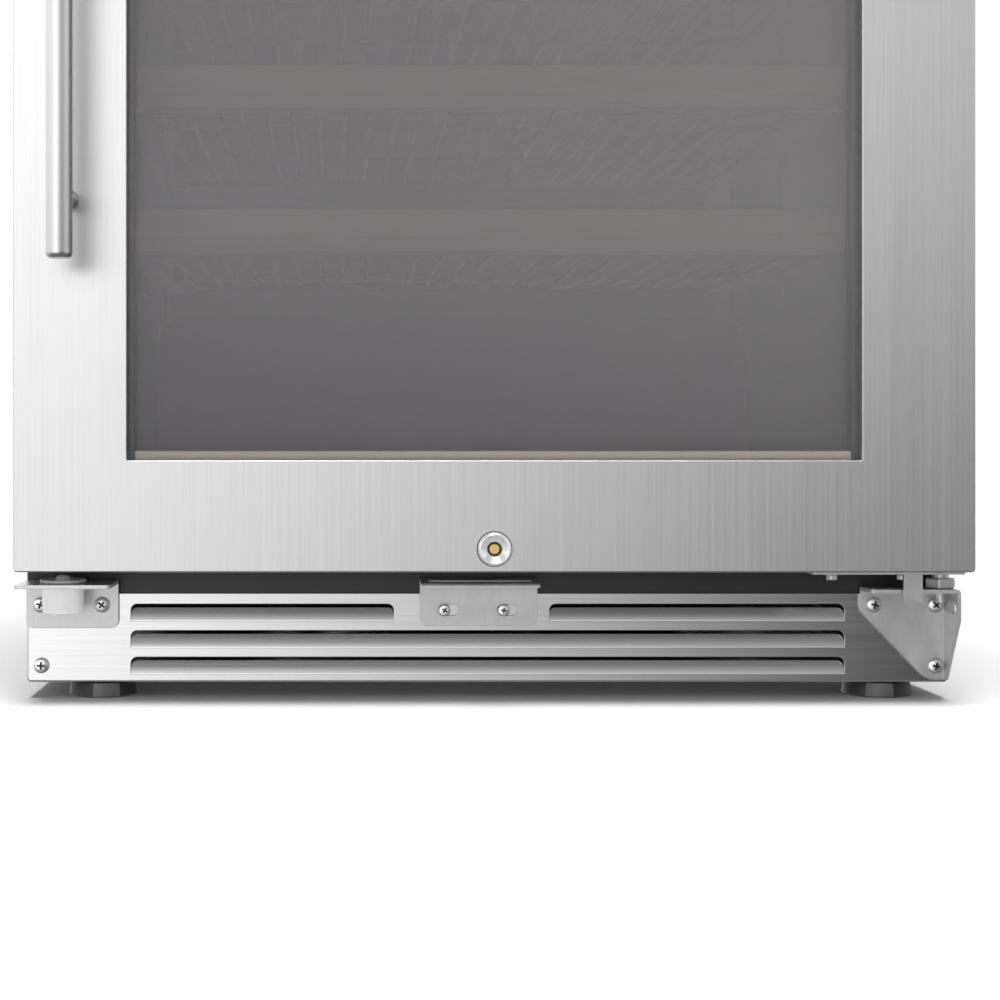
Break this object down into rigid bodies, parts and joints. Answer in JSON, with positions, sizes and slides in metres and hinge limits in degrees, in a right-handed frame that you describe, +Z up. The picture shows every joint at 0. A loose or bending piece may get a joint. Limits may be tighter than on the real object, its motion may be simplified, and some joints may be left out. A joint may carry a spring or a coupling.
{
  "type": "wine cooler",
  "caption": "Undercounter wine cooler with a glazed steel-framed door on side hinges, a lock, pull-out bottle shelves and a louvred kick plate.",
  "frame": {"origin": "on the floor, under the middle of the box that holds the whole appliance with its handle", "axes": "+Z up, -Y out of the front of the door, +X to the right as seen from the front"},
  "size_m": [0.595, 0.618, 0.82],
  "materials": {
    "black_paint": "satin",
    "galvanised": "satin",
    "black_plastic": "satin",
    "insulation": "matte",
    "door_steel": "satin",
    "kick_steel": "satin",
    "bracket_steel": "satin",
    "screw_steel": "satin",
    "nylon": "satin",
    "rubber": "matte",
    "tinted_glass": "polished",
    "spacer_aluminium": "satin",
    "chrome": "polished",
    "brass": "satin",
    "light_diffuser": "satin",
    "black_wire": "satin",
    "beech": "satin"
  },
  "bodies": {
    "cabinet": {"cabinet_shell": "black_paint", "inner_liner": "black_plastic", "foam_insulation": "insulation", "back_panel": "galvanised", "machine_cover": "black_paint", "power_inlet": "black_plastic", "base_pan": "galvanised", "kick_plate": "kick_steel", "kick_plate_screw": "screw_steel", "lower_hinge_bracket": "bracket_steel", "lower_hinge_pin": "bracket_steel", "hinge_bracket_screw_outer": "screw_steel", "hinge_bracket_screw_inner": "screw_steel", "hinge_bracket_screw_lower": "screw_steel", "upper_hinge_bracket": "bracket_steel", "door_rest_bracket": "bracket_steel", "door_rest_bush": "nylon", "door_rest_screw_outer": "screw_steel", "door_rest_screw_inner": "screw_steel", "lock_strike": "bracket_steel", "strike_screw_1": "screw_steel", "strike_screw_2": "screw_steel", "compressor": "black_paint", "condenser": "spacer_aluminium", "condenser_fan_frame": "black_plastic", "evaporator_cover": "black_plastic", "control_panel": "black_plastic", "light_strip": "light_diffuser", "shelf_ladder_left": "black_plastic", "shelf_ladder_right": "black_plastic", "bottom_rack": "black_wire"},
    "door": {"door_frame": "door_steel", "door_liner": "black_plastic", "door_gasket": "rubber", "outer_glass": "tinted_glass", "glass_spacer": "spacer_aluminium", "inner_glass": "tinted_glass", "door_hinge_plate": "bracket_steel", "handle_bar": "door_steel", "handle_post_lower": "door_steel", "handle_post_upper": "door_steel", "lock_barrel": "chrome"},
    "lock_cylinder": {"lock_plug": "brass", "lock_cam": "bracket_steel"},
    "condenser_fan": {"condenser_fan_blade": "black_plastic"},
    "evaporator_fan": {"evaporator_fan_blade": "black_plastic"},
    "foot_front_left": {"foot_front_left": "rubber"},
    "foot_front_right": {"foot_front_right": "rubber"},
    "foot_rear_left": {"foot_rear_left": "rubber"},
    "foot_rear_right": {"foot_rear_right": "rubber"},
    "shelf_1": {"shelf_1_rack": "black_wire", "shelf_1_fascia": "beech"},
    "shelf_2": {"shelf_2_rack": "black_wire", "shelf_2_fascia": "beech"},
    "shelf_3": {"shelf_3_rack": "black_wire", "shelf_3_fascia": "beech"},
    "shelf_4": {"shelf_4_rack": "black_wire", "shelf_4_fascia": "beech"},
    "shelf_5": {"shelf_5_rack": "black_wire", "shelf_5_fascia": "beech"}
  },
  "joints": [
    {"name": "door_hinge", "type": "hinge", "parent": "cabinet", "child": "door", "pos_m": [0.287, -0.232, 0.4], "axis": [0, 0, 1], "range_deg": [0, 105]},
    {"name": "lock_turn", "type": "hinge", "parent": "door", "child": "lock_cylinder", "pos_m": [0, -0.264, 0.0995], "axis": [0, -1, 0], "range_deg": [0, 90]},
    {"name": "condenser_fan_spin", "type": "hinge", "parent": "cabinet", "child": "condenser_fan", "pos_m": [-0.12, 0.222, 0.1], "axis": [1, 0, 0], "continuous": true},
    {"name": "evaporator_fan_spin", "type": "hinge", "parent": "cabinet", "child": "evaporator_fan", "pos_m": [0, 0.222, 0.59], "axis": [0, 1, 0], "continuous": true},
    {"name": "foot_front_left_thread", "type": "slide", "parent": "cabinet", "child": "foot_front_left", "axis": [0, 0, -1], "range_m": [0, 0.018]},
    {"name": "foot_front_right_thread", "type": "slide", "parent": "cabinet", "child": "foot_front_right", "axis": [0, 0, -1], "range_m": [0, 0.018]},
    {"name": "foot_rear_left_thread", "type": "slide", "parent": "cabinet", "child": "foot_rear_left", "axis": [0, 0, -1], "range_m": [0, 0.018]},
    {"name": "foot_rear_right_thread", "type": "slide", "parent": "cabinet", "child": "foot_rear_right", "axis": [0, 0, -1], "range_m": [0, 0.018]},
    {"name": "shelf_1_slide", "type": "slide", "parent": "cabinet", "child": "shelf_1", "axis": [0, -1, 0], "range_m": [0, 0.1195]},
    {"name": "shelf_2_slide", "type": "slide", "parent": "cabinet", "child": "shelf_2", "axis": [0, -1, 0], "range_m": [0, 0.1195]},
    {"name": "shelf_3_slide", "type": "slide", "parent": "cabinet", "child": "shelf_3", "axis": [0, -1, 0], "range_m": [0, 0.1195]},
    {"name": "shelf_4_slide", "type": "slide", "parent": "cabinet", "child": "shelf_4", "axis": [0, -1, 0], "range_m": [0, 0.1195]},
    {"name": "shelf_5_slide", "type": "slide", "parent": "cabinet", "child": "shelf_5", "axis": [0, -1, 0], "range_m": [0, 0.1195]}
  ],
  "couplings": [
    {"joint": "shelf_1_slide", "follows": "door_hinge", "m_per_rad": 0.065},
    {"joint": "shelf_2_slide", "follows": "door_hinge", "m_per_rad": 0.065},
    {"joint": "shelf_3_slide", "follows": "door_hinge", "m_per_rad": 0.065},
    {"joint": "shelf_4_slide", "follows": "door_hinge", "m_per_rad": 0.065},
    {"joint": "shelf_5_slide", "follows": "door_hinge", "m_per_rad": 0.065}
  ]
}
